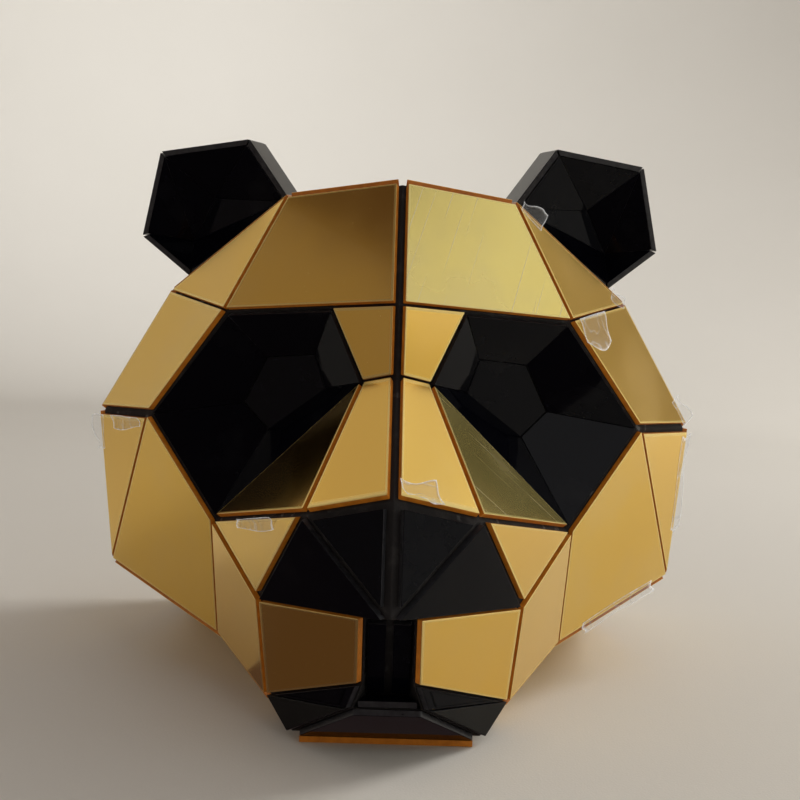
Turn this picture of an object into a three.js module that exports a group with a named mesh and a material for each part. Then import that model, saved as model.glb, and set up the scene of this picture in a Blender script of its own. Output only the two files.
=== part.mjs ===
// Full-head panda mask of flat acrylic plates on a folded base shell.
//
// Millimetres, +Z up, the face looks along -Y, +X is the right of the front view, and the
// mask is mirrored about X = 0. It stands on its chin plate and on the lower edges of the
// plates round the neck, and the base shell ends just above the floor.
//
// Every corner of the base shell has a name. The facets between the corners are flat: some
// corners are placed by hand, the rest lie where the planes of their facets meet. Each facet
// that carries a plate gives that plate its outline, pulled in by half a seam.
import * as THREE from 'three';

// Driving sizes of the head
const HALF_WIDTH = 168; // centre line to the temples
const FACE_DEPTH = 185; // temples forward to the tip of the nose
const BACK_DEPTH = 130; // temples back to the rear
const HEAD_HEIGHT = 268; // floor to the front of the crown

// Thicknesses and clearances
const BASE_WALL = 3; // base shell
const PLATE = 3; // gold and black acrylic plates
const SOCKET_PLATE = 2.5; // panels and lens in the eye sockets
const SEAT = 0.3; // between a plate and what it is glued to
const CHIN_LEVEL = PLATE + SEAT; // the chin plate fills this down to the floor

// Seams between plates, measured on the base shell
const SEAM = 1.2; // ordinary seam
const CENTRE_SEAM = 3.6; // down the forehead and the bridge
const TEMPLE_SEAM = 4.4; // level seam beside the eye
const NOSE_STRIP = 3.2; // bare strip over the nose
const NOSE_RIDGE = 6.4; // bare ridge between the two upper nose panels
const NOSE_SEAM = 2.8; // slanting seams of the nose
const CLEFT_SEAM = 3.4; // between the two panels above the mouth
const CHEEK_SEAM = 5.6; // two lower edges of the small cheek plate
const EYE_SEAM = 3; // edges of the plate under the eye
const BRIDGE_SEAM = 2; // lower and outer edges of the bridge plates
const MUZZLE_SEAM = 3; // outer edge of the muzzle plate
const MOUTH_SEAM = 0.6; // fold at the corner of the mouth
const CHIN_LEDGE = 5.6; // how far the chin plate reaches forward under the lower lip
const CHIN_SEAM = 9.6; // two ends of the chin plate
const LIP_RISE = 4.8; // lower edge of the lower lip, up from the fold above the chin plate
const NECK_LIFT = 1.5; // the base shell's neck rim stays this far above the floor
const CHIN_REVEAL = 1.5; // bare edge of the base shell behind the chin plate
const SOCKET_REVEAL = 1.6; // bare edge between a socket's lining and its mouth

// Ears
const EAR_DEPTH = 28; // front edge to the back panel
const EAR_WALL = 3; // side and back panels
const EAR_FRONT = 3.2; // folded front, measured along the ear's depth
const EAR_HOLLOW = 17; // how far the two inner creases lie behind the rim
const EAR_OUT = 20; // rim of the ear before the temples, at its upper foot
const EAR_TURN = 14; // degrees that the ear looks outwards

// Share of the lens that the opening behind it takes
const LENS_OPENING = 0.6;

// Below this a corner is on the centre line, a bend is straight and a facet is level.
const STRAIGHT = 1e-3;
// Keeps a corner still in the directions that no facet pulls it.
const SOFTNESS = 1e-7;

const GOLD = { color: 0xd6a84a, roughness: 0.16, metalness: 1 };
const BLACK = { color: 0x08080c, roughness: 0.08, metalness: 0 };
const MATT = { color: 0x1b191a, roughness: 0.85, metalness: 0 };

// Corners of the right half, seen from the front. across, out and up are shares of
// HALF_WIDTH, FACE_DEPTH and HEAD_HEIGHT. A row with a plane takes its out from that plane.
const CORNERS = [
  { name: 'crown_front', across: 0, out: 0.417, up: 1 },
  { name: 'brow_mid', across: 0, out: 0.575, up: 0.778 },
  { name: 'brow_outer', across: 0.53, out: 0.333, up: 0.752 },
  { name: 'crown_side', across: 0.35, up: 0.975, plane: ['crown_front', 'brow_mid', 'brow_outer'] },
  { name: 'temple_top', across: 0.75, out: 0.054, up: 0.782 },
  { name: 'temple_low', across: 1, out: 0, up: 0.525 },
  { name: 'eye_outer', across: 0.785, up: 0.538, plane: ['temple_top', 'brow_outer', 'temple_low'] },
  { name: 'bridge_mid', across: 0, out: 0.577, up: 0.645 },
  { name: 'nose_top_mid', across: 0, out: 0.926, up: 0.465 },
  { name: 'eye_bottom', across: 0.544, out: 0.393, up: 0.347 },
  { name: 'cheek_back', across: 0.955, out: 0, up: 0.202 },
  { name: 'cheek_low', across: 0.526, up: 0.117, plane: ['eye_outer', 'eye_bottom', 'cheek_back'] },
  { name: 'muzzle_top', across: 0.37, out: 0.63, up: 0.24 },
  { name: 'jaw_corner', across: 0.342, up: 0.06, plane: ['eye_bottom', 'muzzle_top', 'cheek_low'] },
  { name: 'nose_tip', across: 0, out: 1, up: 0.282 },
  { name: 'lip_bottom', across: 0.067, up: 0.155, plane: ['muzzle_top', 'nose_tip', 'jaw_corner'] },
  { name: 'philtrum_top', across: 0.06, out: 0.9, up: 0.264 },
  { name: 'philtrum_bottom', across: 0.06, out: 0.81, up: 0.106 },
  { name: 'mouth_edge', across: 0.094, out: 0.885, up: 0.106 },
  { name: 'lens_top_inner', across: 0.242, out: 0.385, up: 0.677 },
  { name: 'lens_top_outer', across: 0.399, out: 0.302, up: 0.666 },
  { name: 'lens_low', across: 0.389, out: 0.302, up: 0.519 },
  { name: 'lens_outer', across: 0.477, up: 0.57, plane: ['lens_top_inner', 'lens_top_outer', 'lens_low'] },
  { name: 'lens_inner', across: 0.204, up: 0.61, plane: ['lens_top_inner', 'lens_top_outer', 'lens_low'] },
];

// Shares that place the corners behind the face
const BROW_INNER = 0.36; // along the brow, from its middle to its outer end
const LIP_TOP = 0.82; // along the muzzle's upper edge, from the cheek to the nose tip
const BRIDGE_INNER = { across: 0.088, up: 0.631 };
const NOSE_SIDE = { across: 0.23, up: 0.424 };
const CHIN = { across: 0.27, front: 0.7, acrossBack: 0.235, back: 0.49 };
const CROWN_BACK = { back: 0.385, up: 1.008 };
const REAR_TOP = { back: 0.91, up: 0.846 };
const REAR_MID = { across: 0.8, up: 0.527 };
const NECK_BACK = { back: 0.81 };

// Rim of the right ear, seen from the front: shares of HALF_WIDTH and HEAD_HEIGHT. The two
// feet have no height, because they stand on the plate below them.
const EAR_RIM = [
  { name: 'inner_top', across: 0.51, up: 1.104 },
  { name: 'foot_top', across: 0.362 },
  { name: 'foot_low', across: 0.706 },
  { name: 'outer_low', across: 0.88, up: 0.9 },
  { name: 'outer_top', across: 0.818, up: 1.078 },
];
const EAR_CREASES = [
  { name: 'upper_crease', across: 0.64, up: 0.986 },
  { name: 'lower_crease', across: 0.712, up: 0.895 },
];

// Facets, each with its corners counter-clockwise from outside. A minus sign before a corner
// means its mirror image. Facets under PAIRED are made on both sides.
const PAIRED = [
  {
    name: 'forehead',
    finish: GOLD,
    corners: ['crown_front', 'brow_mid', 'brow_inner', 'brow_outer', 'crown_side'],
  },
  { name: 'forehead_side', finish: GOLD, corners: ['crown_side', 'brow_outer', 'temple_top'] },
  { name: 'temple', finish: GOLD, corners: ['temple_top', 'brow_outer', 'eye_outer', 'temple_low'] },
  { name: 'side', finish: GOLD, corners: ['temple_low', 'eye_outer', 'cheek_back'] },
  { name: 'cheek', finish: GOLD, corners: ['eye_outer', 'eye_bottom', 'cheek_low', 'cheek_back'] },
  { name: 'jaw', finish: GOLD, corners: ['eye_bottom', 'muzzle_top', 'jaw_corner', 'cheek_low'] },
  { name: 'inner_cheek', finish: GOLD, corners: ['eye_bottom', 'nose_top_side', 'muzzle_top'] },
  { name: 'under_eye', finish: GOLD, corners: ['eye_inner', 'nose_top_side', 'eye_bottom'] },
  { name: 'bridge_upper', finish: GOLD, corners: ['brow_mid', 'bridge_mid', 'eye_inner', 'brow_inner'] },
  {
    name: 'bridge_lower',
    finish: GOLD,
    corners: ['bridge_mid', 'nose_top_mid', 'nose_top_side', 'eye_inner'],
  },
  { name: 'muzzle', finish: GOLD, corners: ['muzzle_top', 'lip_top', 'lip_bottom', 'jaw_corner'] },
  { name: 'nose_upper', finish: BLACK, corners: ['nose_top_mid', 'nose_tip', 'nose_top_side'] },
  { name: 'nose_side', finish: BLACK, corners: ['nose_top_side', 'nose_tip', 'lip_top', 'muzzle_top'] },
  {
    name: 'philtrum',
    finish: BLACK,
    corners: ['philtrum_top_mid', 'philtrum_bottom_mid', 'philtrum_bottom', 'philtrum_top'],
  },
  { name: 'lip_under', finish: BLACK, corners: ['lip_bottom', 'mouth_edge', 'jaw_corner'] },
  { name: 'mouth_corner', finish: BLACK, corners: ['jaw_corner', 'mouth_edge', 'chin_front'] },
  { name: 'under_jaw', finish: GOLD, corners: ['cheek_low', 'jaw_corner', 'chin_back', 'neck_front'] },
  { name: 'under_cheek', finish: GOLD, corners: ['cheek_back', 'cheek_low', 'neck_front', 'neck_back'] },
  { name: 'side_lower', finish: GOLD, corners: ['temple_low', 'cheek_back', 'neck_back', 'rear_mid'] },
  { name: 'side_upper', finish: GOLD, corners: ['temple_top', 'temple_low', 'rear_mid', 'rear_top'] },
  { name: 'crown_flank', finish: GOLD, corners: ['crown_side', 'temple_top', 'rear_top', 'crown_back'] },
  { name: 'crown', finish: GOLD, corners: ['crown_front', 'crown_side', 'crown_back', 'crown_back_mid'] },
  { name: 'cleft_wall', corners: ['lip_top', 'philtrum_top', 'philtrum_bottom', 'lip_bottom'] },
  { name: 'mouth_wall', corners: ['lip_bottom', 'philtrum_bottom', 'mouth_edge'] },
  { name: 'chin_side', corners: ['jaw_corner', 'chin_front', 'chin_back'] },
];
const ACROSS = [
  {
    name: 'mouth_floor',
    finish: BLACK,
    corners: ['mouth_edge', 'philtrum_bottom', 'philtrum_bottom_mid', '-philtrum_bottom', '-mouth_edge'],
  },
  { name: 'lower_lip', finish: BLACK, corners: ['mouth_edge', '-mouth_edge', '-chin_front', 'chin_front'] },
  { name: 'chin', finish: GOLD, corners: ['chin_front', '-chin_front', '-chin_back', 'chin_back'] },
  {
    name: 'back_top',
    finish: GOLD,
    corners: ['crown_back_mid', 'crown_back', 'rear_top', '-rear_top', '-crown_back'],
  },
  { name: 'back_mid', finish: GOLD, corners: ['rear_top', 'rear_mid', '-rear_mid', '-rear_top'] },
  { name: 'back_low', finish: GOLD, corners: ['rear_mid', 'neck_back', '-neck_back', '-rear_mid'] },
  {
    name: 'nose_under',
    corners: ['nose_tip', '-lip_top', '-philtrum_top', 'philtrum_top_mid', 'philtrum_top', 'lip_top'],
  },
];
const SOCKET = [
  { name: 'socket_top', corners: ['brow_outer', 'brow_inner', 'lens_top_inner', 'lens_top_outer'] },
  { name: 'socket_outer', corners: ['eye_outer', 'brow_outer', 'lens_top_outer', 'lens_outer'] },
  { name: 'socket_low', corners: ['eye_bottom', 'eye_outer', 'lens_outer', 'lens_low'] },
  { name: 'socket_under', corners: ['eye_inner', 'eye_bottom', 'lens_low', 'lens_inner'] },
  { name: 'socket_inner', corners: ['brow_inner', 'eye_inner', 'lens_inner', 'lens_top_inner'] },
];
const LENS = ['lens_top_inner', 'lens_inner', 'lens_low', 'lens_outer', 'lens_top_outer'];

// Folds of a socket: a corner of its mouth, and the corner of the lens below it.
const SOCKET_FOLDS = [
  { mouth: 'brow_inner', foot: 'lens_top_inner' },
  { mouth: 'brow_outer', foot: 'lens_top_outer' },
  { mouth: 'eye_outer', foot: 'lens_outer' },
  { mouth: 'eye_bottom', foot: 'lens_low' },
  { mouth: 'eye_inner', foot: 'lens_inner' },
];

// Seams that are wider than SEAM. Each names the edge, the width, and the one plate that
// gives way where it isn't shared by both. An edge of two like corners runs across the centre
// line, and comes before rows that name its corner with another. A width below zero takes the
// plate out past the edge.
const WIDE_SEAMS = [
  { edge: ['crown_front', 'brow_mid'], width: CENTRE_SEAM },
  { edge: ['brow_mid', 'bridge_mid'], width: CENTRE_SEAM },
  { edge: ['bridge_mid', 'nose_top_mid'], width: CENTRE_SEAM },
  { edge: ['crown_front', 'crown_back_mid'], width: CENTRE_SEAM },
  { edge: ['eye_outer', 'temple_low'], width: TEMPLE_SEAM },
  { edge: ['nose_top_mid', 'nose_top_side'], width: 2 * NOSE_STRIP, plate: 'nose_upper' },
  { edge: ['nose_top_mid', 'nose_tip'], width: NOSE_RIDGE },
  { edge: ['nose_tip', 'nose_top_side'], width: NOSE_SEAM },
  { edge: ['philtrum_top_mid', 'philtrum_bottom_mid'], width: CLEFT_SEAM },
  { edge: ['nose_top_mid', 'nose_top_side'], width: BRIDGE_SEAM, plate: 'bridge_lower' },
  { edge: ['eye_inner', 'nose_top_side'], width: BRIDGE_SEAM },
  { edge: ['nose_top_side', 'muzzle_top'], width: CHEEK_SEAM, plate: 'inner_cheek' },
  { edge: ['eye_bottom', 'muzzle_top'], width: CHEEK_SEAM, plate: 'inner_cheek' },
  { edge: ['eye_inner', 'eye_bottom'], width: EYE_SEAM, plate: 'under_eye' },
  { edge: ['nose_top_side', 'eye_bottom'], width: EYE_SEAM, plate: 'under_eye' },
  { edge: ['muzzle_top', 'jaw_corner'], width: MUZZLE_SEAM, plate: 'muzzle' },
  { edge: ['jaw_corner', 'mouth_edge'], width: MOUTH_SEAM },
  { edge: ['chin_front', 'chin_front'], width: 2 * LIP_RISE, plate: 'lower_lip' },
  { edge: ['chin_front', 'chin_front'], width: -2 * CHIN_LEDGE, plate: 'chin' },
  { edge: ['chin_front', 'chin_back'], width: CHIN_SEAM, plate: 'chin' },
];

const corners = placeCorners();
const shellFacets = [...PAIRED.flatMap(bothSides), ...ACROSS, ...socketFacets(), ...lensRings()];
const plated = new Set([...PAIRED, ...ACROSS].filter((facet) => facet.finish).map((facet) => facet.name));

// Name of the mirror image of a corner. Corners on the centre line are their own.
function mirrored(name) {
  if (name.startsWith('-')) return name.slice(1);
  return Math.abs(corners[name].x) < STRAIGHT ? name : `-${name}`;
}

// Point of a corner, with a minus sign for the left half.
function point(name) {
  if (!name.startsWith('-')) return corners[name].clone();
  const p = corners[name.slice(1)];
  return new THREE.Vector3(-p.x, p.y, p.z);
}

// The facet as it stands on the right, and its mirror image on the left.
function bothSides(facet) {
  const [first, ...rest] = facet.corners.map(mirrored);
  const left = [first, ...rest.reverse()];
  return [
    { ...facet, side: 'right' },
    { ...facet, side: 'left', corners: left },
  ];
}

function socketFacets() {
  return SOCKET.flatMap(bothSides);
}

// Ring round the opening behind each lens, in the lens's own plane.
function lensRings() {
  const rings = LENS.map((name, i) => {
    const next = LENS[(i + 1) % LENS.length];
    return { name: 'lens_ring', corners: [name, next, `hole_${next}`, `hole_${name}`] };
  });
  return rings.flatMap(bothSides);
}

// Plane through three corners.
function planeOf(places, names) {
  return new THREE.Plane().setFromCoplanarPoints(...names.map((name) => places[name]));
}

// The point where three planes meet.
function meet(a, b, c) {
  const rows = new THREE.Matrix3().set(...a.normal.toArray(), ...b.normal.toArray(), ...c.normal.toArray());
  return new THREE.Vector3(-a.constant, -b.constant, -c.constant).applyMatrix3(rows.invert());
}

function level(height) {
  return new THREE.Plane(new THREE.Vector3(0, 0, 1), -height);
}

function upright(x) {
  return new THREE.Plane(new THREE.Vector3(1, 0, 0), -x);
}

function crosswise(y) {
  return new THREE.Plane(new THREE.Vector3(0, 1, 0), -y);
}

// Places every corner of the right half.
function placeCorners() {
  const at = {};
  const place = ({ across, out, up }) =>
    new THREE.Vector3(across * HALF_WIDTH, -out * FACE_DEPTH, up * HEAD_HEIGHT);
  const seen = ({ across, up }, plane) =>
    meet(upright(across * HALF_WIDTH), level(up * HEAD_HEIGHT), planeOf(at, plane));
  for (const row of CORNERS) at[row.name] = row.plane ? seen(row, row.plane) : place(row);
  at.brow_inner = at.brow_mid.clone().lerp(at.brow_outer, BROW_INNER);
  at.lip_top = at.muzzle_top.clone().lerp(at.nose_tip, LIP_TOP);
  at.eye_inner = seen(BRIDGE_INNER, ['brow_mid', 'bridge_mid', 'brow_inner']);
  at.nose_top_side = seen(NOSE_SIDE, ['bridge_mid', 'nose_top_mid', 'eye_inner']);
  at.philtrum_top_mid = at.philtrum_top.clone().setX(0);
  at.philtrum_bottom_mid = at.philtrum_bottom.clone().setX(0);
  at.chin_front = place({ across: CHIN.across, out: CHIN.front, up: 0 }).setZ(CHIN_LEVEL);
  at.chin_back = place({ across: CHIN.acrossBack, out: CHIN.back, up: 0 }).setZ(CHIN_LEVEL);

  const middle = LENS.reduce((sum, name) => sum.add(at[name]), new THREE.Vector3()).divideScalar(LENS.length);
  for (const name of LENS) at[`hole_${name}`] = middle.clone().lerp(at[name], LENS_OPENING);

  // Behind the face: flat flanks that taper, and three panels across the rear.
  at.crown_back_mid = new THREE.Vector3(0, CROWN_BACK.back * BACK_DEPTH, CROWN_BACK.up * HEAD_HEIGHT);
  at.rear_mid = new THREE.Vector3(REAR_MID.across * HALF_WIDTH, BACK_DEPTH, REAR_MID.up * HEAD_HEIGHT);
  const flankUpper = planeOf(at, ['temple_top', 'temple_low', 'rear_mid']);
  const flankLower = planeOf(at, ['temple_low', 'cheek_back', 'rear_mid']);
  at.rear_top = meet(flankUpper, crosswise(REAR_TOP.back * BACK_DEPTH), level(REAR_TOP.up * HEAD_HEIGHT));
  at.neck_back = meet(flankLower, crosswise(NECK_BACK.back * BACK_DEPTH), level(NECK_LIFT));
  const rearSlope = new THREE.Plane().setFromCoplanarPoints(
    at.crown_back_mid,
    at.rear_top,
    at.rear_top.clone().setX(0),
  );
  at.crown_back = meet(
    planeOf(at, ['crown_front', 'crown_side', 'crown_back_mid']),
    planeOf(at, ['crown_side', 'temple_top', 'rear_top']),
    rearSlope,
  );
  at.neck_front = meet(
    planeOf(at, ['cheek_back', 'cheek_low', 'neck_back']),
    planeOf(at, ['cheek_low', 'jaw_corner', 'chin_back']),
    level(NECK_LIFT),
  );
  return at;
}

// Unit normal of a polygon by the sum of its edges' cross products.
function normalOf(points) {
  const normal = new THREE.Vector3();
  points.forEach((p, i) => normal.add(p.clone().cross(points[(i + 1) % points.length])));
  return normal.normalize();
}

function middleOf(points) {
  return points.reduce((sum, p) => sum.add(p), new THREE.Vector3()).divideScalar(points.length);
}

// Where each corner goes when every facet moves along its normal by the distance. holds are
// more planes for some of the corners, each with its own travel.
function shifted(facets, places, distance, holds = []) {
  const demands = new Map();
  const demand = (name, normal, travel) => {
    if (!demands.has(name)) demands.set(name, []);
    demands.get(name).push({ normal, travel });
  };
  for (const facet of facets) {
    const normal = normalOf(facet.corners.map((name) => places.get(name)));
    for (const name of facet.corners) demand(name, normal, distance);
  }
  for (const hold of holds) {
    for (const name of hold.corners) demand(name, hold.normal, hold.travel);
  }
  const moved = new Map();
  for (const [name, rows] of demands) moved.set(name, places.get(name).clone().add(leastMove(rows)));
  return moved;
}

// The smallest move that gives each normal its travel, as well as they agree.
function leastMove(rows) {
  const square = new THREE.Matrix3().multiplyScalar(SOFTNESS);
  const sum = new THREE.Vector3();
  for (const { normal, travel } of rows) {
    const n = normal.toArray();
    for (let i = 0; i < 3; i += 1) {
      for (let j = 0; j < 3; j += 1) square.elements[3 * j + i] += n[i] * n[j];
    }
    sum.addScaledVector(normal, travel);
  }
  return sum.applyMatrix3(square.invert());
}

// Closed solid between two sets of places for the same facets. An edge that only one facet
// uses gets a wall from front to back.
function solidBetween(facets, front, back) {
  const vertices = [];
  const triangle = (...points) => points.forEach((p) => vertices.push(p.x, p.y, p.z));
  const edges = new Set();
  for (const { corners: loop } of facets) {
    for (let i = 1; i < loop.length - 1; i += 1) {
      triangle(front.get(loop[0]), front.get(loop[i]), front.get(loop[i + 1]));
      triangle(back.get(loop[0]), back.get(loop[i + 1]), back.get(loop[i]));
    }
    loop.forEach((name, i) => edges.add(`${name} ${loop[(i + 1) % loop.length]}`));
  }
  for (const edge of edges) {
    const [a, b] = edge.split(' ');
    if (!edges.has(`${b} ${a}`)) {
      triangle(front.get(b), front.get(a), back.get(a));
      triangle(front.get(b), back.get(a), back.get(b));
    }
  }
  const geometry = new THREE.BufferGeometry();
  geometry.setAttribute('position', new THREE.Float32BufferAttribute(vertices, 3));
  geometry.computeVertexNormals();
  return geometry;
}

function placesOf(facets) {
  return new Map(facets.flatMap((facet) => facet.corners).map((name) => [name, point(name)]));
}

// How far a plate's edge stays back from the facet's edge.
function edgeInset(facet, a, b, lift, stack) {
  const ends = [a, b].map((name) => name.replace('-', ''));
  const wide = WIDE_SEAMS.find(
    (row) => ends.every((name) => row.edge.includes(name)) && (!row.plate || row.plate === facet.name),
  );
  const inset = (wide ? wide.width : SEAM) / 2;
  const normal = normalOf(facet.corners.map(point));
  const neighbour = shellFacets.find((other) => {
    const i = other.corners.indexOf(b);
    return i >= 0 && other.corners[(i + 1) % other.corners.length] === a;
  });
  if (!neighbour) {
    // The neck rim: the lower corner of the plate's edge comes down to the floor.
    const slant = Math.hypot(normal.x, normal.y);
    if (slant < STRAIGHT) return CHIN_REVEAL;
    const fall = normal.z < 0 ? -stack * normal.z : -lift * normal.z;
    return (fall - NECK_LIFT) / slant;
  }
  const points = neighbour.corners.map(point);
  const hollow = middleOf(points).sub(point(a)).dot(normal) > 0;
  const fold = normal.angleTo(normalOf(points));
  if (!hollow) return inset;
  if (plated.has(neighbour.name)) return inset + stack * Math.tan(fold / 2);
  // A bare wall that leans over the plate.
  return inset + stack * Math.tan(Math.max(0, fold - Math.PI / 2));
}

// Outline pulled in edge by edge. Edges in one straight line count as one, with the larger
// inset.
function pulledIn(outline, insets) {
  const count = outline.length;
  const direction = outline.map((p, i) => outline[(i + 1) % count].clone().sub(p).normalize());
  const bends = direction.map((along, i) => {
    const before = direction[(i + count - 1) % count];
    return Math.abs(before.cross(along)) > STRAIGHT;
  });
  const kept = [...outline.keys()].filter((i) => bends[i]);
  const edges = kept.map((start) => {
    let inset = insets[start];
    for (let i = (start + 1) % count; !bends[i]; i = (i + 1) % count) inset = Math.max(inset, insets[i]);
    return { corner: outline[start], along: direction[start], inset };
  });
  return edges.map((edge, k) => {
    const before = edges[(k + edges.length - 1) % edges.length];
    const back = (edge.inset - before.inset * before.along.dot(edge.along)) / before.along.cross(edge.along);
    const left = new THREE.Vector2(-before.along.y, before.along.x);
    return edge.corner.clone().addScaledVector(left, before.inset).addScaledVector(before.along, -back);
  });
}

// Flat plate on a facet: its outline pulled in by the seams, lifted off the facet and as
// thick as the sheet that it is cut from.
function plate(facet, thickness) {
  const points = facet.corners.map(point);
  const normal = normalOf(points);
  const origin = middleOf(points);
  const lift = SEAT + Math.max(...points.map((p) => p.clone().sub(origin).dot(normal)));
  const u = points[1].clone().sub(points[0]).projectOnPlane(normal).normalize();
  const v = normal.clone().cross(u);
  const flat = points.map((p) => {
    const d = p.clone().sub(origin);
    return new THREE.Vector2(d.dot(u), d.dot(v));
  });
  const stack = lift + thickness;
  const insets = facet.corners.map((name, i) => {
    const next = facet.corners[(i + 1) % points.length];
    return edgeInset(facet, name, next, lift, stack);
  });
  const shape = new THREE.Shape(pulledIn(flat, insets));
  const geometry = new THREE.ExtrudeGeometry(shape, { depth: thickness, bevelEnabled: false });
  const frame = new THREE.Matrix4().makeBasis(u, v, normal).setPosition(origin.addScaledVector(normal, lift));
  return geometry.applyMatrix4(frame);
}

function piece(name, geometry, finish) {
  const mesh = new THREE.Mesh(geometry, new THREE.MeshStandardMaterial(finish));
  mesh.name = name;
  return mesh;
}

// Base shell: the facets, and the same facets moved in by the wall. The neck rim stays level.
function baseShell() {
  const outer = placesOf(shellFacets);
  const rim = ['neck_front', 'neck_back', 'chin_back'].flatMap((name) => [name, `-${name}`]);
  const hold = { corners: rim, normal: new THREE.Vector3(0, 0, 1), travel: 0 };
  const inner = shifted(shellFacets, outer, -BASE_WALL, [hold, hold, hold]);
  return piece('base_shell', solidBetween(shellFacets, outer, inner), MATT);
}

// Corners of the lens on one side, counter-clockwise from outside.
function lensCorners(side) {
  return side === 'right' ? LENS : [...LENS].reverse().map((name) => `-${name}`);
}

// Folded lining of one eye socket. It starts a little inside the mouth and its lower edges
// stand on the lens.
function eyeSocket(side) {
  const walls = socketFacets().filter((facet) => facet.side === side);
  const places = placesOf(walls);
  const sign = side === 'right' ? '' : '-';
  for (const { mouth, foot } of SOCKET_FOLDS) {
    const down = point(sign + foot).sub(point(sign + mouth)).normalize();
    places.get(sign + mouth).addScaledVector(down, SOCKET_REVEAL);
  }
  const lens = lensCorners(side);
  const normal = normalOf(lens.map(point));
  const hold = { corners: lens, normal, travel: SEAT + SOCKET_PLATE + SEAT };
  const front = shifted(walls, places, SEAT + SOCKET_PLATE, [hold]);
  const back = shifted(walls, places, SEAT, [hold]);
  return piece(`eye_socket_${side}`, solidBetween(walls, front, back), BLACK);
}

function eyeLens(side) {
  return piece(`eye_lens_${side}`, plate({ name: 'lens', corners: lensCorners(side) }, SOCKET_PLATE), BLACK);
}

// One ear: a five-sided cup on the crown's flank, and the folded front inside its rim.
function ear(side) {
  const sign = side === 'right' ? 1 : -1;
  const seat = planeOf(corners, ['crown_side', 'temple_top', 'rear_top']);
  if (seat.normal.z < 0) seat.negate();
  seat.translate(seat.normal.clone().multiplyScalar(SEAT + PLATE + SEAT));
  const turn = THREE.MathUtils.degToRad(EAR_TURN);
  const facing = new THREE.Vector3(Math.sin(turn), -Math.cos(turn), 0);
  const foot = EAR_RIM.find((row) => row.name === 'foot_top');
  const through = new THREE.Vector3(foot.across * HALF_WIDTH, -EAR_OUT, 0);
  const front = new THREE.Plane().setFromNormalAndCoplanarPoint(facing, through);
  const depth = facing.clone().negate().projectOnPlane(seat.normal).normalize();

  const rim = EAR_RIM.map((row) => {
    const height = row.up === undefined ? seat : level(row.up * HEAD_HEIGHT);
    return meet(upright(row.across * HALF_WIDTH), height, front);
  });
  const cup = new Map();
  rim.forEach((p, i) => {
    cup.set(`rim_${i}`, p);
    cup.set(`back_${i}`, p.clone().addScaledVector(depth, EAR_DEPTH));
  });
  const walls = rim.map((p, i) => {
    const next = (i + 1) % rim.length;
    return { corners: [`rim_${next}`, `rim_${i}`, `back_${i}`, `back_${next}`] };
  });
  walls.push({ corners: rim.map((p, i) => `back_${rim.length - 1 - i}`) });
  const edge = { corners: rim.map((p, i) => `rim_${i}`), normal: facing, travel: 0 };
  const inside = shifted(walls, cup, -EAR_WALL, [edge, edge]);
  const clear = shifted(walls, cup, -EAR_WALL - SEAT, [edge, edge]);

  const fold = new Map(rim.map((p, i) => [EAR_RIM[i].name, clear.get(`rim_${i}`)]));
  const sunk = front.clone().translate(facing.clone().multiplyScalar(-EAR_HOLLOW));
  for (const row of EAR_CREASES) {
    fold.set(row.name, meet(upright(row.across * HALF_WIDTH), level(row.up * HEAD_HEIGHT), sunk));
  }
  const facets = [
    { corners: ['inner_top', 'foot_top', 'upper_crease', 'outer_top'] },
    { corners: ['outer_top', 'upper_crease', 'lower_crease', 'outer_low'] },
    { corners: ['outer_low', 'lower_crease', 'foot_low'] },
    { corners: ['foot_top', 'foot_low', 'lower_crease', 'upper_crease'] },
  ];
  const behind = new Map([...fold].map(([name, p]) => [name, p.clone().addScaledVector(depth, EAR_FRONT)]));
  return [
    piece(`ear_${side}`, turned(walls, cup, inside, sign), BLACK),
    piece(`ear_front_${side}`, turned(facets, fold, behind, sign), BLACK),
  ];
}

// Solid of the right half, or its mirror image where the sign is negative.
function turned(facets, front, back, sign) {
  if (sign > 0) return solidBetween(facets, front, back);
  const flip = (places) => new Map([...places].map(([name, p]) => [name, new THREE.Vector3(-p.x, p.y, p.z)]));
  const reversed = facets.map(({ corners: [first, ...rest] }) => ({ corners: [first, ...rest.reverse()] }));
  return solidBetween(reversed, flip(front), flip(back));
}

const mask = new THREE.Group();
mask.add(baseShell());
for (const facet of [...PAIRED.flatMap(bothSides), ...ACROSS]) {
  if (facet.finish) {
    const name = facet.side ? `${facet.name}_${facet.side}` : facet.name;
    mask.add(piece(name, plate(facet, PLATE), facet.finish));
  }
}
for (const side of ['right', 'left']) {
  mask.add(eyeSocket(side), eyeLens(side), ...ear(side));
}

// The origin is under the middle of the whole mask, on the floor.
const box = new THREE.Box3().setFromObject(mask);
mask.position.y = -(box.min.y + box.max.y) / 2;

export default mask;
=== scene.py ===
"""Looks of a full-head panda mask of gold mirror plates and glossy black plates.

Lengths are metres in the row frame: +Z up, the face looks along -Y, +X is the right of the
front view. Every plate of the frame is cut again here as a sheet with fine bevels and a
polished edge. The folded socket linings and the ears become single panels with seams, the
base shell gets its folded board, and scraps of clear protective film stay on the edges.
"""

import logging
import math
from dataclasses import dataclass, field
from enum import Enum
from typing import Optional, Union

import bmesh
import bpy
import numpy as np
from mathutils import Matrix, Vector
from mathutils.bvhtree import BVHTree

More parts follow.
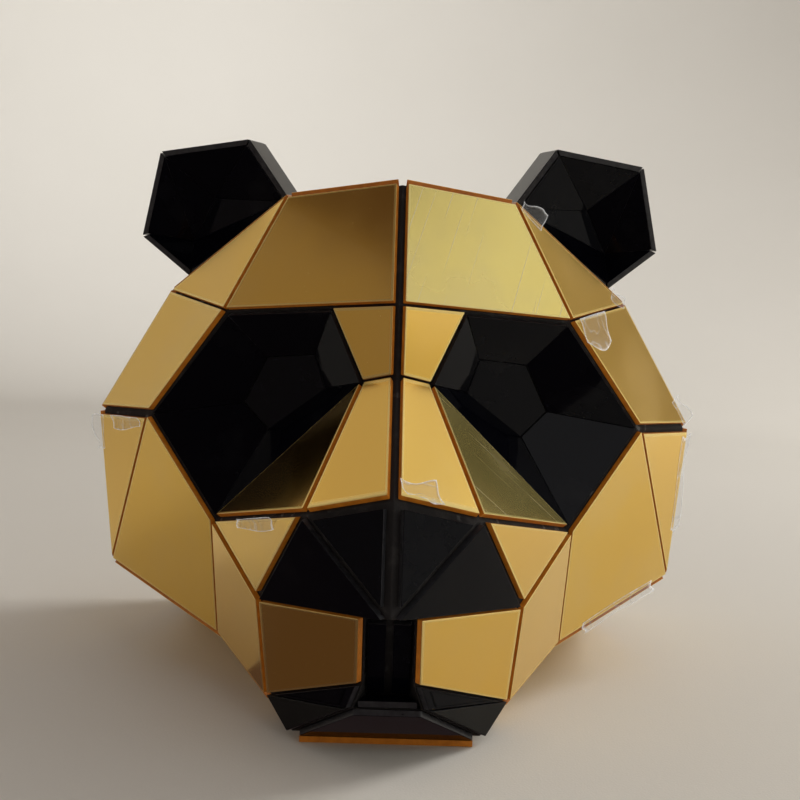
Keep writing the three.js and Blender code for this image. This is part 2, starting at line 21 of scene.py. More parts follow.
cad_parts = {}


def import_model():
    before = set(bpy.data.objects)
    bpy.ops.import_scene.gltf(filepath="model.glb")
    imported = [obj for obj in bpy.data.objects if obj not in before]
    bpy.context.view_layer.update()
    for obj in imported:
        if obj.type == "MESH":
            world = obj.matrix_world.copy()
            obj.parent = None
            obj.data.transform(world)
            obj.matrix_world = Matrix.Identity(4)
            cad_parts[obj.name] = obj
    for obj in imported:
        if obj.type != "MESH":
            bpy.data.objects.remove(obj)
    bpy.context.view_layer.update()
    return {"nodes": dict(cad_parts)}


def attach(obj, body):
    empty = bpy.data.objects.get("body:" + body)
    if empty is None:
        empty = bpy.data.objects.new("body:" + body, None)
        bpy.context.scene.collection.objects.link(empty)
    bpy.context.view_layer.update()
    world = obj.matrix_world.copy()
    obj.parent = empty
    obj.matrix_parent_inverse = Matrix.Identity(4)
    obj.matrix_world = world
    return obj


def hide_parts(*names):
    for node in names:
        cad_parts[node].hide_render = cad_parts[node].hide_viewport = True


Array = np.ndarray
Colour = tuple[float, float, float]
Value = Union["Tone", bpy.types.NodeSocket, float, tuple]

log = logging.getLogger("panda_mask")

MM = 0.001
SPECKS = 1500.0  # specks of dust in a metre
ACRYLIC_IOR = 1.49


# Shader recipes


class Tone:
    """A number that changes over a surface. Arithmetic on it adds Math nodes."""

    def __init__(self, recipe: "Recipe", socket: bpy.types.NodeSocket) -> None:
        """Wraps a socket.

        Args:
            recipe: the node tree that the socket belongs to.
            socket: the output that carries the number.
        """
        self.recipe = recipe
        self.socket = socket

    def _math(self, operation: str, first: Value, second: Value) -> "Tone":
        """One Math node.

        Args:
            operation: the node's operation.
            first: its first number.
            second: its second number.

        Returns:
            The result as a tone.
        """
        node = self.recipe.node("ShaderNodeMath", {"operation": operation}, {0: first, 1: second})
        return Tone(self.recipe, node.outputs[0])

    def __add__(self, other: Value) -> "Tone":
        """This plus another."""
        return self._math("ADD", self, other)

    def __radd__(self, other: Value) -> "Tone":
        """Another plus this."""
        return self._math("ADD", other, self)

    def __sub__(self, other: Value) -> "Tone":
        """This minus another."""
        return self._math("SUBTRACT", self, other)

    def __rsub__(self, other: Value) -> "Tone":
        """Another minus this."""
        return self._math("SUBTRACT", other, self)

    def __mul__(self, other: Value) -> "Tone":
        """This times another."""
        return self._math("MULTIPLY", self, other)

    def __rmul__(self, other: Value) -> "Tone":
        """Another times this."""
        return self._math("MULTIPLY", other, self)

    def larger(self, other: Value) -> "Tone":
        """The larger of this and another."""
        return self._math("MAXIMUM", self, other)

    def between(self, low: float, high: float) -> "Tone":
        """Zero under low, one over high, and a smooth step between them."""
        node = self.recipe.node(
            "ShaderNodeMapRange",
            {"interpolation_type": "SMOOTHSTEP"},
            {"Value": self, "From Min": low, "From Max": high},
        )
        return Tone(self.recipe, node.outputs["Result"])


class Recipe:
    """The node tree of one material, written as expressions."""

    def __init__(self, name: str) -> None:
        """Starts an empty material with the given name."""
        self.material = bpy.data.materials.new(name)
        self.material.use_nodes = True
        self.tree = self.material.node_tree
        self.tree.nodes.clear()

    def node(
        self,
        kind: str,
        settings: Optional[dict[str, object]] = None,
        sockets: Optional[dict[Union[str, int], Value]] = None,
    ) -> bpy.types.Node:
        """Adds a node.

        Args:
            kind: the node's type.
            settings: properties of the node, set first.
            sockets: values or links of its inputs, by name or place.

        Returns:
            The new node.
        """
        made = self.tree.nodes.new(kind)
        for name, value in (settings or {}).items():
            setattr(made, name, value)
        for name, value in (sockets or {}).items():
            source = value.socket if isinstance(value, Tone) else value
            if isinstance(source, bpy.types.NodeSocket):
                self.tree.links.new(source, made.inputs[name])
            else:
                made.inputs[name].default_value = source
        return made

    def place(self) -> bpy.types.NodeSocket:
        """Place on the object, in metres."""
        return self.node("ShaderNodeTexCoord").outputs["Object"]

    def sheet_place(self) -> bpy.types.NodeSocket:
        """Place on a flat sheet, in centimetres along and across it."""
        return self.node("ShaderNodeUVMap", {"uv_map": "sheet"}).outputs["UV"]

    def attribute(self, name: str) -> Tone:
        """A number stored on the mesh."""
        return Tone(self, self.node("ShaderNodeAttribute", {"attribute_name": name}).outputs["Fac"])

    def turned(self, vector: Value, degrees: float, size: Colour) -> bpy.types.NodeSocket:
        """A place measured on axes that are turned about the third one, with a unit for each.

        Args:
            vector: the place.
            degrees: the turn of the axes.
            size: length of the unit along each turned axis.

        Returns:
            The place on the turned axes.
        """
        turn = (0.0, 0.0, math.radians(degrees))
        sockets = {"Vector": vector, "Rotation": turn, "Scale": size}
        return self.node("ShaderNodeMapping", {"vector_type": "TEXTURE"}, sockets).outputs["Vector"]

    def noise(self, vector: Value, scale: float, detail: float = 2.0, rough: float = 0.5) -> Tone:
        """Cloudy noise between 0 and 1.

        Args:
            vector: where it is read.
            scale: how many clouds go in one unit.
            detail: how many finer layers are added.
            rough: how strong those layers are.

        Returns:
            The noise.
        """
        sockets = {"Vector": vector, "Scale": scale, "Detail": detail, "Roughness": rough}
        return Tone(self, self.node("ShaderNodeTexNoise", {}, sockets).outputs["Fac"])

    def colour(self, factor: Value, low: Colour, high: Colour) -> bpy.types.NodeSocket:
        """A colour between two colours.

        Args:
            factor: 0 gives the first colour and 1 the second.
            low: the first colour, or a socket with it.
            high: the second colour.

        Returns:
            The mixed colour.
        """
        start = low if isinstance(low, bpy.types.NodeSocket) else (*low, 1.0)
        mix = self.node("ShaderNodeMix", {"data_type": "RGBA"}, {0: factor, 6: start, 7: (*high, 1.0)})
        return mix.outputs[2]

    def bump(self, height: Tone, depth: float, strength: float = 1.0) -> bpy.types.NodeSocket:
        """A normal that is tilted by a height.

        Args:
            height: the height, between 0 and 1.
            depth: metres that a height of 1 stands for.
            strength: share of the tilt that is used.

        Returns:
            The tilted normal.
        """
        sockets = {"Height": height, "Distance": depth, "Strength": strength}
        return self.node("ShaderNodeBump", {}, sockets).outputs["Normal"]

    def surface(self, sockets: dict[str, Value]) -> bpy.types.NodeSocket:
        """A Principled surface with the given sockets."""
        return self.node("ShaderNodeBsdfPrincipled", {}, sockets).outputs["BSDF"]

    def done(self, shader: bpy.types.NodeSocket) -> bpy.types.Material:
        """Links the shader to the output and returns the material."""
        self.node("ShaderNodeOutputMaterial", {}, {"Surface": shader})
        return self.material

    def split(self, factor: Tone, first: Value, second: Value) -> bpy.types.NodeSocket:
        """A surface that goes from one shader to another.

        Args:
            factor: 0 shows the first and 1 the second.
            first: the first shader.
            second: the second shader.

        Returns:
            The mixed shader.
        """
        return self.node("ShaderNodeMixShader", {}, {0: factor, 1: first, 2: second}).outputs[0]

    def scratches(self, degrees: float, density: float) -> Tone:
        """Straight hair scratches on a sheet: noise that changes only across them, cut off high
        and kept only in patches.

        Args:
            degrees: the direction of the scratches.
            density: share between 0 and 1, more gives more of them.

        Returns:
            One on a scratch and zero elsewhere.
        """
        sheet = self.sheet_place()
        thread_cm = (500.0, 0.09, 1.0)
        patch_cm = (7.0, 0.8, 1.0)
        threads = self.noise(self.turned(sheet, degrees, thread_cm), 1.0, 0.0)
        patches = self.noise(self.turned(sheet, degrees, patch_cm), 1.0, 1.0)
        level = 0.82 - 0.14 * density
        return threads.between(level, level + 0.03) * patches.between(0.47, 0.62)

    def specks(self, vector: Value, scale: float, share: float) -> Tone:
        """Small specks, such as dust: fine noise cut off high.

        Args:
            vector: where it is read.
            scale: how many specks go in one unit.
            share: share between 0 and 1, more gives more of them.

        Returns:
            One on a speck and zero elsewhere.
        """
        level = 0.82 - 0.12 * share
        return self.noise(vector, scale, 1.0).between(level, level + 0.05)


@dataclass(frozen=True)
class GoldMirror:
    """Gold mirror acrylic: a tinted mirror behind clear acrylic, with amber cut edges."""

    name: str
    gold: Colour = (0.95, 0.62, 0.125)
    deep_gold: Colour = (0.89, 0.54, 0.09)
    # lighter gold painted on the bevel lip: a painted highlight along the plate's edge
    painted_highlight_gold: Colour = (1.0, 0.86, 0.36)
    amber: Colour = (0.60, 0.20, 0.016)
    dark_amber: Colour = (0.27, 0.08, 0.007)
    dust: Colour = (0.80, 0.76, 0.66)
    roughness: float = 0.13
    haze: float = 0.05
    scratch: float = 0.1
    veil: float = 0.0
    wave_depth: float = 0.7 * MM
    long_scratches: float = 66.0
    cross_scratches: float = -12.0
    coat: float = 0.4
    # strength of painted light on the amber cut edges
    painted_edge_glow: float = 0.1

    def material(self) -> bpy.types.Material:
        """The material, with its face on the sheet and its amber on the edge."""
        r = Recipe(self.name)
        place = r.place()
        cloud = r.noise(place, 9.0, 3.0)
        smudge = r.noise(place, 16.0, 3.0).between(0.42, 0.72)
        lines = r.scratches(self.long_scratches, self.scratch)
        lines = lines.larger(r.scratches(self.cross_scratches, self.scratch * 0.5))
        dust = r.specks(place, SPECKS, 0.3 + 0.4 * self.scratch)
        lip = r.attribute("lip")
        # The bevel lip is painted toward a lighter gold, a painted highlight where the bevel catches
        # light.
        tint = r.colour(lip * 0.6, r.colour(cloud, self.deep_gold, self.gold), self.painted_highlight_gold)
        hazy = r.colour(smudge * self.haze + lines * 0.7 + dust * 0.35, tint, self.dust)
        rough = self.roughness + smudge * self.haze + lines * 0.3 + dust * 0.25 + lip * 0.22
        wave = r.noise(place, 12.0, 1.0) * 0.9 + lines * 0.008
        face = r.surface(
            {
                "Base Color": hazy,
                "Metallic": (1.0 - self.veil) - dust * 0.3 - lines * 0.35,
                "Roughness": rough,
                "Normal": r.bump(wave, self.wave_depth),
                "Coat Weight": self.coat,
                "Coat Roughness": 0.03,
                "Coat IOR": ACRYLIC_IOR,
            }
        )
        streak = r.noise(place, 240.0, 2.0)
        edge = r.surface(
            {
                "Base Color": r.colour(streak, self.dark_amber, self.amber),
                "Roughness": 0.25 + streak * 0.2,
                "Specular IOR Level": 0.3,
                # The emission is painted light: it keeps the amber cut edges lit also where they lie in
                # shade.
                "Emission Color": r.colour(streak, self.dark_amber, self.amber),
                "Emission Strength": self.painted_edge_glow,
            }
        )
        return r.done(r.split(r.attribute("edge"), face, edge))


@dataclass(frozen=True)
class BlackGloss:
    """Glossy black acrylic with fingerprints, hair scratches and dust.

    Its index of refraction is below that of acrylic, because the photograph's mirror images in
    the black plates are faint.
    """

    name: str
    # The black leans slightly blue, which paints in a faint blue sheen.
    black: Colour = (0.0016, 0.0017, 0.0035)
    edge: Colour = (0.045, 0.046, 0.052)
    dust: Colour = (0.30, 0.30, 0.30)
    roughness: float = 0.045
    ior: float = 1.19
    wave_depth: float = 0.6 * MM
    saw_depth: float = 0.05 * MM

    def material(self) -> bpy.types.Material:
        """The material, with a satin cut edge."""
        r = Recipe(self.name)
        place = r.place()
        smudge = r.noise(place, 34.0, 4.0, 0.6).between(0.52, 0.78)
        lines = r.scratches(24.0, 0.05)
        dust = r.specks(place, SPECKS, 0.12)
        veil = r.colour(smudge * 0.012 + lines * 0.1 + dust * 0.4, self.black, self.dust)
        wave = r.noise(place, 15.0, 1.0) * 0.9 + lines * 0.006
        face = r.surface(
            {
                "Base Color": veil,
                "Roughness": self.roughness + smudge * 0.05 + lines * 0.15 + dust * 0.4,
                "Normal": r.bump(wave, self.wave_depth),
                "IOR": self.ior,
            }
        )
        saw = r.noise(place, 380.0, 2.0)
        edge = r.surface(
            {
                "Base Color": r.colour(saw, self.black, self.edge),
                "Roughness": 0.22 + saw * 0.2,
                "Normal": r.bump(saw, self.saw_depth),
            }
        )
        return r.done(r.split(r.attribute("edge"), face, edge))


@dataclass(frozen=True)
class MattBoard:
    """Matt black board of the base shell, with fine tooth, scuffs and traces of glue."""

    name: str
    black: Colour = (0.010, 0.009, 0.0095)
    worn: Colour = (0.036, 0.033, 0.033)
    tooth_depth: float = 0.12 * MM

    def material(self) -> bpy.types.Material:
        """The material."""
        r = Recipe(self.name)
        place = r.place()
        tooth = r.noise(place, 1600.0, 3.0, 0.7)
        scuff = r.noise(place, 90.0, 4.0, 0.65).between(0.52, 0.76)
        glue = r.noise(place, 150.0, 2.0).between(0.63, 0.68)
        return r.done(
            r.surface(
                {
                    "Base Color": r.colour(scuff * 0.75 + tooth * 0.2, self.black, self.worn),
                    "Roughness": 0.84 - glue * 0.5 - scuff * 0.1,
                    "Normal": r.bump(tooth * 0.5 + glue * 0.5, self.tooth_depth, 0.8),
                }
            )
        )


@dataclass(frozen=True)
class ClearFilm:
    """Thin clear protective film, denser along its creases and along the rim where it has come off, with a
    painted highlight glowing on both.
    """

    name: str
    tint: Colour = (0.86, 0.88, 0.90)
    dull: Colour = (0.74, 0.76, 0.78)
    dark: Colour = (0.0, 0.0, 0.0)
    clear: float = 0.06
    crease: float = 0.14
    rim: float = 0.42
    crease_turn: float = 35.0
    crease_depth: float = 2.0 * MM
    painted_glow: float = 0.6

    def material(self) -> bpy.types.Material:
        """The material: almost clear, denser along its creases and its rim."""
        r = Recipe(self.name)
        place = r.place()
        fold = r.noise(r.turned(place, self.crease_turn, (1.0, 0.45, 1.0)), 70.0, 1.5)
        ridge = fold.between(0.46, 0.5) * (1.0 - fold.between(0.5, 0.54))
        haze = r.noise(place, 30.0, 2.0).between(0.4, 0.7)
        rim = r.attribute("rim")
        return r.done(
            r.surface(
                {
                    "Base Color": r.colour(haze, self.dull, self.tint),
                    "Roughness": 0.06 + haze * 0.1,
                    "Alpha": self.clear + haze * 0.04 + ridge * self.crease + rim * self.rim,
                    "Normal": r.bump(fold, self.crease_depth),
                    # The emission paints white highlights on the creases and the rim, in place of
                    # reflections of the windows.
                    "Emission Color": r.colour(ridge * 0.2 + rim * 0.5, self.dark, self.tint),
                    "Emission Strength": self.painted_glow,
                }
            )
        )


@dataclass(frozen=True)
class PaleCloth:
    """Plain pale cloth that the studio floor is covered with."""

    name: str
    light: Colour = (0.84, 0.82, 0.77)
    shade: Colour = (0.76, 0.74, 0.68)
    weave_depth: float = 0.2 * MM

    def material(self) -> bpy.types.Material:
        """The material."""
        r = Recipe(self.name)
        place = r.place()
        weave = r.noise(place, 900.0, 2.0)
        cloud = r.noise(place, 1.6, 3.0)
        return r.done(
            r.surface(
                {
                    "Base Color": r.colour(cloud * 0.7 + weave * 0.3, self.shade, self.light),
                    "Roughness": 0.85,
                    "Normal": r.bump(weave, self.weave_depth, 0.5),
                }
            )
        )


# Surfaces worked out as arrays


def unit(rows: Array) -> Array:
    """The rows, each divided by its length."""
    return rows / np.linalg.norm(rows, axis=-1, keepdims=True)


def put_mesh(
    name: str, points: Array, faces: list[list[int]], cm: Optional[Array] = None
) -> bpy.types.Object:
    """Makes an object of points and faces.

    Args:
        name: the object's name.
        points: its vertices, one row each.
        faces: the vertices of each face, counter-clockwise from outside.
        cm: place on the sheet of each vertex, or None for a piece without one.

    Returns:
        The object, linked to the scene.
    """
    mesh = bpy.data.meshes.new(name)
    mesh.from_pydata(points.tolist(), [], faces)
    if cm is not None:
        ends = np.empty(len(mesh.loops), np.int32)
        mesh.loops.foreach_get("vertex_index", ends)
        mesh.uv_layers.new(name="sheet").data.foreach_set("uv", cm[ends].astype(np.float32).ravel())
    mesh.update()
    made = bpy.data.objects.new(name, mesh)
    bpy.context.scene.collection.objects.link(made)
    return made


def store(piece: bpy.types.Object, name: str, values: Array) -> None:
    """Stores one number per vertex on a piece under the given name."""
    layer = piece.data.attributes.new(name, "FLOAT", "POINT")
    layer.data.foreach_set("value", values.astype(np.float32))


def dress(piece: bpy.types.Object, material: bpy.types.Material, slot: Optional[str]) -> bpy.types.Object:
    """Gives a piece its material and lets it ride with the mask.

    Args:
        piece: the piece.
        material: its material.
        slot: not used.

    Returns:
        The piece.
    """
    piece.data.materials.clear()
    piece.data.materials.append(material)
    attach(piece, "root")
    return piece


@dataclass
class Facet:
    """A flat face of a frame node: its corners counter-clockwise from outside."""

    loop: Array
    normal: Array
    area: float

    @property
    def centre(self) -> Array:
        """Mean of the corners."""
        return self.loop.mean(0)

    def dropped(self, points: Array) -> Array:
        """Points moved along the normal onto one plane through their mean."""
        away = (points - points.mean(0)) @ self.normal
        return points - away[:, None] * self.normal

    def matched(self, points: Array, least: float) -> Array:
        """For each corner the closest point that lies well behind it.

        Args:
            points: the points to choose from.
            least: least depth behind the corner, in metres.

        Returns:
            One point for each corner.
        """
        apart = self.loop[:, None] - points[None]
        far = np.where(apart @ self.normal > least, np.linalg.norm(apart, axis=2), np.inf)
        return points[far.argmin(1)]

    @property
    def holed(self) -> bool:
        """Whether its corners enclose much more than its own area, as a ring's do."""
        arms = self.loop - self.centre
        enclosed = np.cross(arms, np.roll(arms, -1, axis=0)).sum(0) @ self.normal / 2
        return enclosed > 1.2 * self.area


class FacetReader:
    """Finds the flat facets of a frame node."""

    fold_cosine: float = math.cos(math.radians(4.5))

    def __init__(self, node: bpy.types.Object) -> None:
        """Reads the node's corners and triangles."""
        mesh = node.data
        mesh.calc_loop_triangles()
        corners = np.empty(len(mesh.vertices) * 3)
        mesh.vertices.foreach_get("co", corners)
        triangles = np.empty(len(mesh.loop_triangles) * 3, np.int32)
        mesh.loop_triangles.foreach_get("vertices", triangles)
        self.points, merged = np.unique(
            np.round(corners.reshape(-1, 3), 6), axis=0, return_inverse=True
        )
        self.triangles = merged.reshape(-1)[triangles].reshape(-1, 3)

    def facets(self) -> list[Facet]:
        """Groups of triangles that share edges and hardly fold, largest first.

        Returns:
            The facets.
        """
        a, b, c = (self.points[self.triangles[:, i]] for i in range(3))
        cross = np.cross(b - a, c - a)
        area = np.linalg.norm(cross, axis=1) / 2
        normal = unit(cross)
        uses = np.zeros((len(area), len(self.points)), int)
        np.put_along_axis(uses, self.triangles, 1, axis=1)
        joined = (uses @ uses.T >= 2) & (normal @ normal.T > self.fold_cosine)
        for _ in range(6):
            joined = (joined.astype(int) @ joined.astype(int)) > 0
        found = []
        for group in np.unique(joined, axis=0):
            mean = unit((cross[group]).sum(0))
            loop = self.points[self._rim(self.triangles[group])]
            found.append(Facet(self._corners(loop), mean, float(area[group].sum())))
        return sorted(found, key=lambda facet: -facet.area)

    @staticmethod
    def _rim(triangles: Array) -> list[int]:
        """Vertices round a group of triangles: edges that no neighbour shares, end to end.

        Args:
            triangles: the group.

        Returns:
            The vertices in order.
        """
        edges = np.concatenate([triangles[:, [0, 1]], triangles[:, [1, 2]], triangles[:, [2, 0]]])
        held = set(map(tuple, edges.tolist()))
        after = {a: b for a, b in sorted(held) if (b, a) not in held}
        ring = [min(after)]
        while after[ring[-1]] != ring[0]:
            ring.append(after[ring[-1]])
        return ring

    @staticmethod
    def _corners(loop: Array) -> Array:
        """The loop without points on its straight edges."""
        before = unit(loop - np.roll(loop, 1, axis=0))
        bend = np.linalg.norm(np.cross(before, np.roll(before, -1, axis=0)), axis=1)
        return loop[bend > 1e-3]


@dataclass
class Sheet:
    """One flat panel cut from sheet: a profile carried round its outline.

    The profile goes from the middle of the outer face to the edge, over a small bevel, down
    the cut edge, over a second bevel and back to the middle of the inner face.
    """

    name: str
    outer: Facet
    inner: Array
    gap: float = 0.0
    radius: float = 0.5 * MM
    bevel: float = 0.25 * MM
    lip: float = 0.9 * MM
    along: int = 7
    round: int = 4

    def _pulled(self, loop: Array) -> Array:
        """The loop with each edge moved inwards by the gap: each corner moves along the sum of
        its two edges' inward normals, divided by one plus their product.

        Args:
            loop: the corners.

        Returns:
            The corners of the smaller loop.
        """
        ahead = unit(np.roll(loop, -1, axis=0) - loop)
        inward = np.cross(self.outer.normal, ahead)
        before = np.roll(inward, 1, axis=0)
        share = 1.0 + (before * inward).sum(1, keepdims=True)
        return loop + self.gap * (before + inward) / share

    def _outline(self, loop: Array) -> Array:
        """Points round the loop: each corner is a short curve between two points on its edges,
        with weights (1-t)^2, 2t(1-t) and t^2, and each edge is a straight run to the next.

        Args:
            loop: the corners.

        Returns:
            The points, one row each.
        """
        ahead = unit(np.roll(loop, -1, axis=0) - loop)
        start = loop - self.radius * np.roll(ahead, 1, axis=0)
        end = loop + self.radius * ahead
        t = np.linspace(0.0, 1.0, self.round)[None, :, None]
        curve = (1 - t) ** 2 * start[:, None] + 2 * t * (1 - t) * loop[:, None] + t**2 * end[:, None]
        s = np.linspace(0.0, 1.0, self.along + 1)[None, 1:-1, None]
        straight = end[:, None] * (1 - s) + np.roll(start, -1, axis=0)[:, None] * s
        return np.concatenate([curve, straight], axis=1).reshape(-1, 3)

    def build(self) -> bpy.types.Object:
        """Carries the profile round the outline.

        Returns:
            The panel, with its place on the sheet and its edge stored on the mesh.
        """
        outer, inner = (self._outline(self._pulled(loop)) for loop in (self.outer.loop, self.inner))
        middle, behind = outer.mean(0), inner.mean(0)
        thick = np.linalg.norm((middle - behind) @ self.outer.normal)
        reach = np.linalg.norm(outer - middle, axis=1).min()
        brim, lip, drop = self.lip / reach, self.bevel / reach, self.bevel / thick
        # depth through the sheet, how far in from the outline, share of cut edge, share of lip
        profile = np.array(
            [
                (0.0, 0.97, 0.0, 0.0),
                (0.0, 0.75, 0.0, 0.0),
                (0.0, 0.5, 0.0, 0.0),
                (0.0, 0.25, 0.0, 0.0),
                (0.0, 1.3 * brim, 0.0, 0.0),
                (0.0, brim, 0.0, 0.5),
                (0.0, lip, 0.0, 1.0),
                (0.3 * drop, 0.3 * lip, 0.0, 1.0),
                (drop, 0.0, 1.0, 0.0),
                (0.35, 0.0, 1.0, 0.0),
                (0.65, 0.0, 1.0, 0.0),
                (1.0 - drop, 0.0, 1.0, 0.0),
                (1.0 - 0.3 * drop, 0.3 * lip, 1.0, 0.0),
                (1.0, lip, 0.6, 0.0),
                (1.0, 1.3 * brim, 0.0, 0.0),
                (1.0, 0.6, 0.0, 0.0),
                (1.0, 0.97, 0.0, 0.0),
            ]
        )
        depth, pull = (profile[:, i][:, None, None] for i in range(2))
        wall = outer[None] * (1 - depth) + inner[None] * depth
        centre = middle[None, None] * (1 - depth) + behind[None, None] * depth
        rings = wall + (centre - wall) * pull
        rows, count = rings.shape[:2]
        points = np.concatenate([rings.reshape(-1, 3), middle[None], behind[None]])
        faces = grid_faces(rows, count, True) + fans(rows, count)
        side = unit(self.outer.loop[1] - self.outer.loop[0])
        flat = (points - middle) @ np.stack([side, np.cross(self.outer.normal, side)], axis=1)
        piece = put_mesh(self.name, points, faces, flat * 100.0)
        for name, column in (("edge", 2), ("lip", 3)):
            store(piece, name, np.append(np.repeat(profile[:, column], count), (0.0, 0.0)))
        return piece


def grid_faces(rows: int, count: int, closed: bool) -> list[list[int]]:
    """Quads of a grid of points, row after row.

    Args:
        rows: number of rows.
        count: points in a row.
        closed: whether each row runs round to its start.

    Returns:
        The quads.
    """
    columns = np.arange(count if closed else count - 1)
    here = (np.arange(rows - 1)[:, None] * count + columns[None]).ravel()
    ahead = (np.arange(rows - 1)[:, None] * count + (columns[None] + 1) % count).ravel()
    return np.stack([here, here + count, ahead + count, ahead], axis=1).tolist()


def fans(rows: int, count: int) -> list[list[int]]:
    """Triangles that close the first and last rows of a grid onto two points stored after it.

    Args:
        rows: number of rows.
        count: points in a row.

    Returns:
        The triangles.
    """
    column = np.arange(count)
    ahead = (column + 1) % count
    head, tail, last = rows * count, rows * count + 1, (rows - 1) * count
    first = np.stack([np.full(count, head), column, ahead], axis=1)
    final = np.stack([last + column, np.full(count, tail), last + ahead], axis=1)
    return first.tolist() + final.tolist()


# Sub-assemblies


class Cover(Enum):
    """How the face of a gold plate is kept."""

    BARE = "bare"
    FILMED = "filmed"
    HAZED = "hazed"


@dataclass
class Finishes:
    """The materials of the mask."""

    golds: dict[Cover, bpy.types.Material] = field(
        default_factory=lambda: {
            Cover.BARE: GoldMirror("gold_bare").material(),
            Cover.FILMED: GoldMirror(
                "gold_filmed", gold=(0.96, 0.66, 0.15), roughness=0.17, haze=0.10, scratch=0.45, veil=0.03
            ).material(),
            Cover.HAZED: GoldMirror(
                "gold_hazed",
                gold=(0.98, 0.86, 0.33),
                deep_gold=(0.88, 0.68, 0.17),
                roughness=0.20,
                haze=0.13,
                scratch=0.9,
                veil=0.14,
            ).material(),
        }
    )
    black: bpy.types.Material = field(default_factory=lambda: BlackGloss("black_gloss").material())
    satin: bpy.types.Material = field(
        default_factory=lambda: BlackGloss("black_satin", (0.013, 0.013, 0.0125), roughness=0.3).material()
    )
    board: bpy.types.Material = field(default_factory=lambda: MattBoard("matt_board").material())
    film: bpy.types.Material = field(default_factory=lambda: ClearFilm("clear_film").material())


@dataclass
class Plates:
    """The single flat plates, gold and black, that are glued on the base shell."""

    nodes: dict[str, bpy.types.Object]
    finishes: Finishes
    black_names: tuple[str, ...] = (
        "nose_upper",
        "nose_side",
        "philtrum",
        "lip_under",
        "mouth_corner",
        "mouth_floor",
        "lower_lip",
        "eye_lens",
    )
    satin_name: str = "mouth_corner"
    hazed_names: tuple[str, ...] = ("forehead_right", "under_eye_right")
    filmed_names: tuple[str, ...] = (
        "forehead_side_right",
        "temple_right",
        "side_right",
        "bridge_lower_right",
        "cheek_right",
        "jaw_right",
        "inner_cheek_left",
        "temple_left",
    )

    def outer_and_inner(self, node: str, shell: BVHTree) -> tuple[Facet, Facet]:
        """The two large faces of a plate. The outer one lies farther from the shell.

        Args:
            node: name of the plate's node.
            shell: the base shell, for distances.

        Returns:
            The outer and the inner facet.
        """
        pair = FacetReader(self.nodes[node]).facets()[:2]
        pair.sort(key=lambda facet: -shell.find_nearest(Vector(facet.centre))[3])
        return pair[0], pair[1]

    def cover(self, node: str) -> Cover:
        """How the gold plate of a node is kept."""
        if node in self.hazed_names:
            return Cover.HAZED
        return Cover.FILMED if node in self.filmed_names else Cover.BARE

    def look(self, node: str) -> tuple[bpy.types.Material, str]:
        """Material and record slot of a node's plate."""
        if node.startswith(self.satin_name):
            return self.finishes.satin, "black_plate"
        if node.startswith(self.black_names):
            return self.finishes.black, "black_plate"
        return self.finishes.golds[self.cover(node)], "gold_plate"

    def build(self) -> dict[str, Facet]:
        """Cuts every plate.

        Returns:
            The outer facet of each plate by its node's name.
        """
        shell = BVHTree.FromObject(self.nodes["base_shell"], bpy.context.evaluated_depsgraph_get())
        skip = ("base_shell", "eye_socket", "ear")
        faces = {}
        for node in sorted(self.nodes):
            if node.startswith(skip):
                continue
            outer, inner = self.outer_and_inner(node, shell)
            piece = Sheet(f"plate_{node}", outer, outer.matched(inner.loop, 1.0 * MM)).build()
            dress(piece, *self.look(node))
            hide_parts(node)
            faces[node] = outer
            log.info("plate %s: %d corners", node, len(outer.loop))
        return faces


@dataclass
class PanelCutter:
    """Cuts one folded node into single flat panels with seams between them."""

    node: bpy.types.Object
    material: bpy.types.Material
    seam: float
    bevel: float
    least_depth: float = 1.2 * MM

    def cut(self, prefix: str, outers: list[Facet], points: Array) -> list[bpy.types.Object]:
        """Makes a panel from each outer facet to the points behind it.

        Args:
            prefix: start of the panels' names.
            outers: the facets that show.
            points: the node's corners.

        Returns:
            The panels.
        """
        made = []
        for i, facet in enumerate(sorted(outers, key=lambda facet: tuple(facet.centre))):
            inner = facet.dropped(facet.matched(points, self.least_depth))
            flat = Facet(facet.dropped(facet.loop), facet.normal, facet.area)
            sheet = Sheet(f"{prefix}_{i + 1}", flat, inner, self.seam, bevel=self.bevel)
            made.append(dress(sheet.build(), self.material, "black_plate"))
        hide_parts(self.node.name)
        log.info("%s: %d panels", prefix, len(made))
        return made


@dataclass
class EyeSocket:
    """The lining of one eye socket: single black panels round the lens."""

    side: str
    node: bpy.types.Object
    finishes: Finishes
    seam: float = 0.15 * MM
    bevel: float = 0.12 * MM
    least_area: float = 6.0e-4
    least_front: float = 0.3

    def build(self) -> list[bpy.types.Object]:
        """Cuts the panels that face forwards.

        Returns:
            The panels.
        """
        reader = FacetReader(self.node)
        fronts = [
            facet
            for facet in reader.facets()
            if facet.area > self.least_area and -facet.normal[1] > self.least_front
        ]
        cutter = PanelCutter(self.node, self.finishes.black, self.seam, self.bevel)
        return cutter.cut(f"socket_{self.side}", fronts, reader.points)


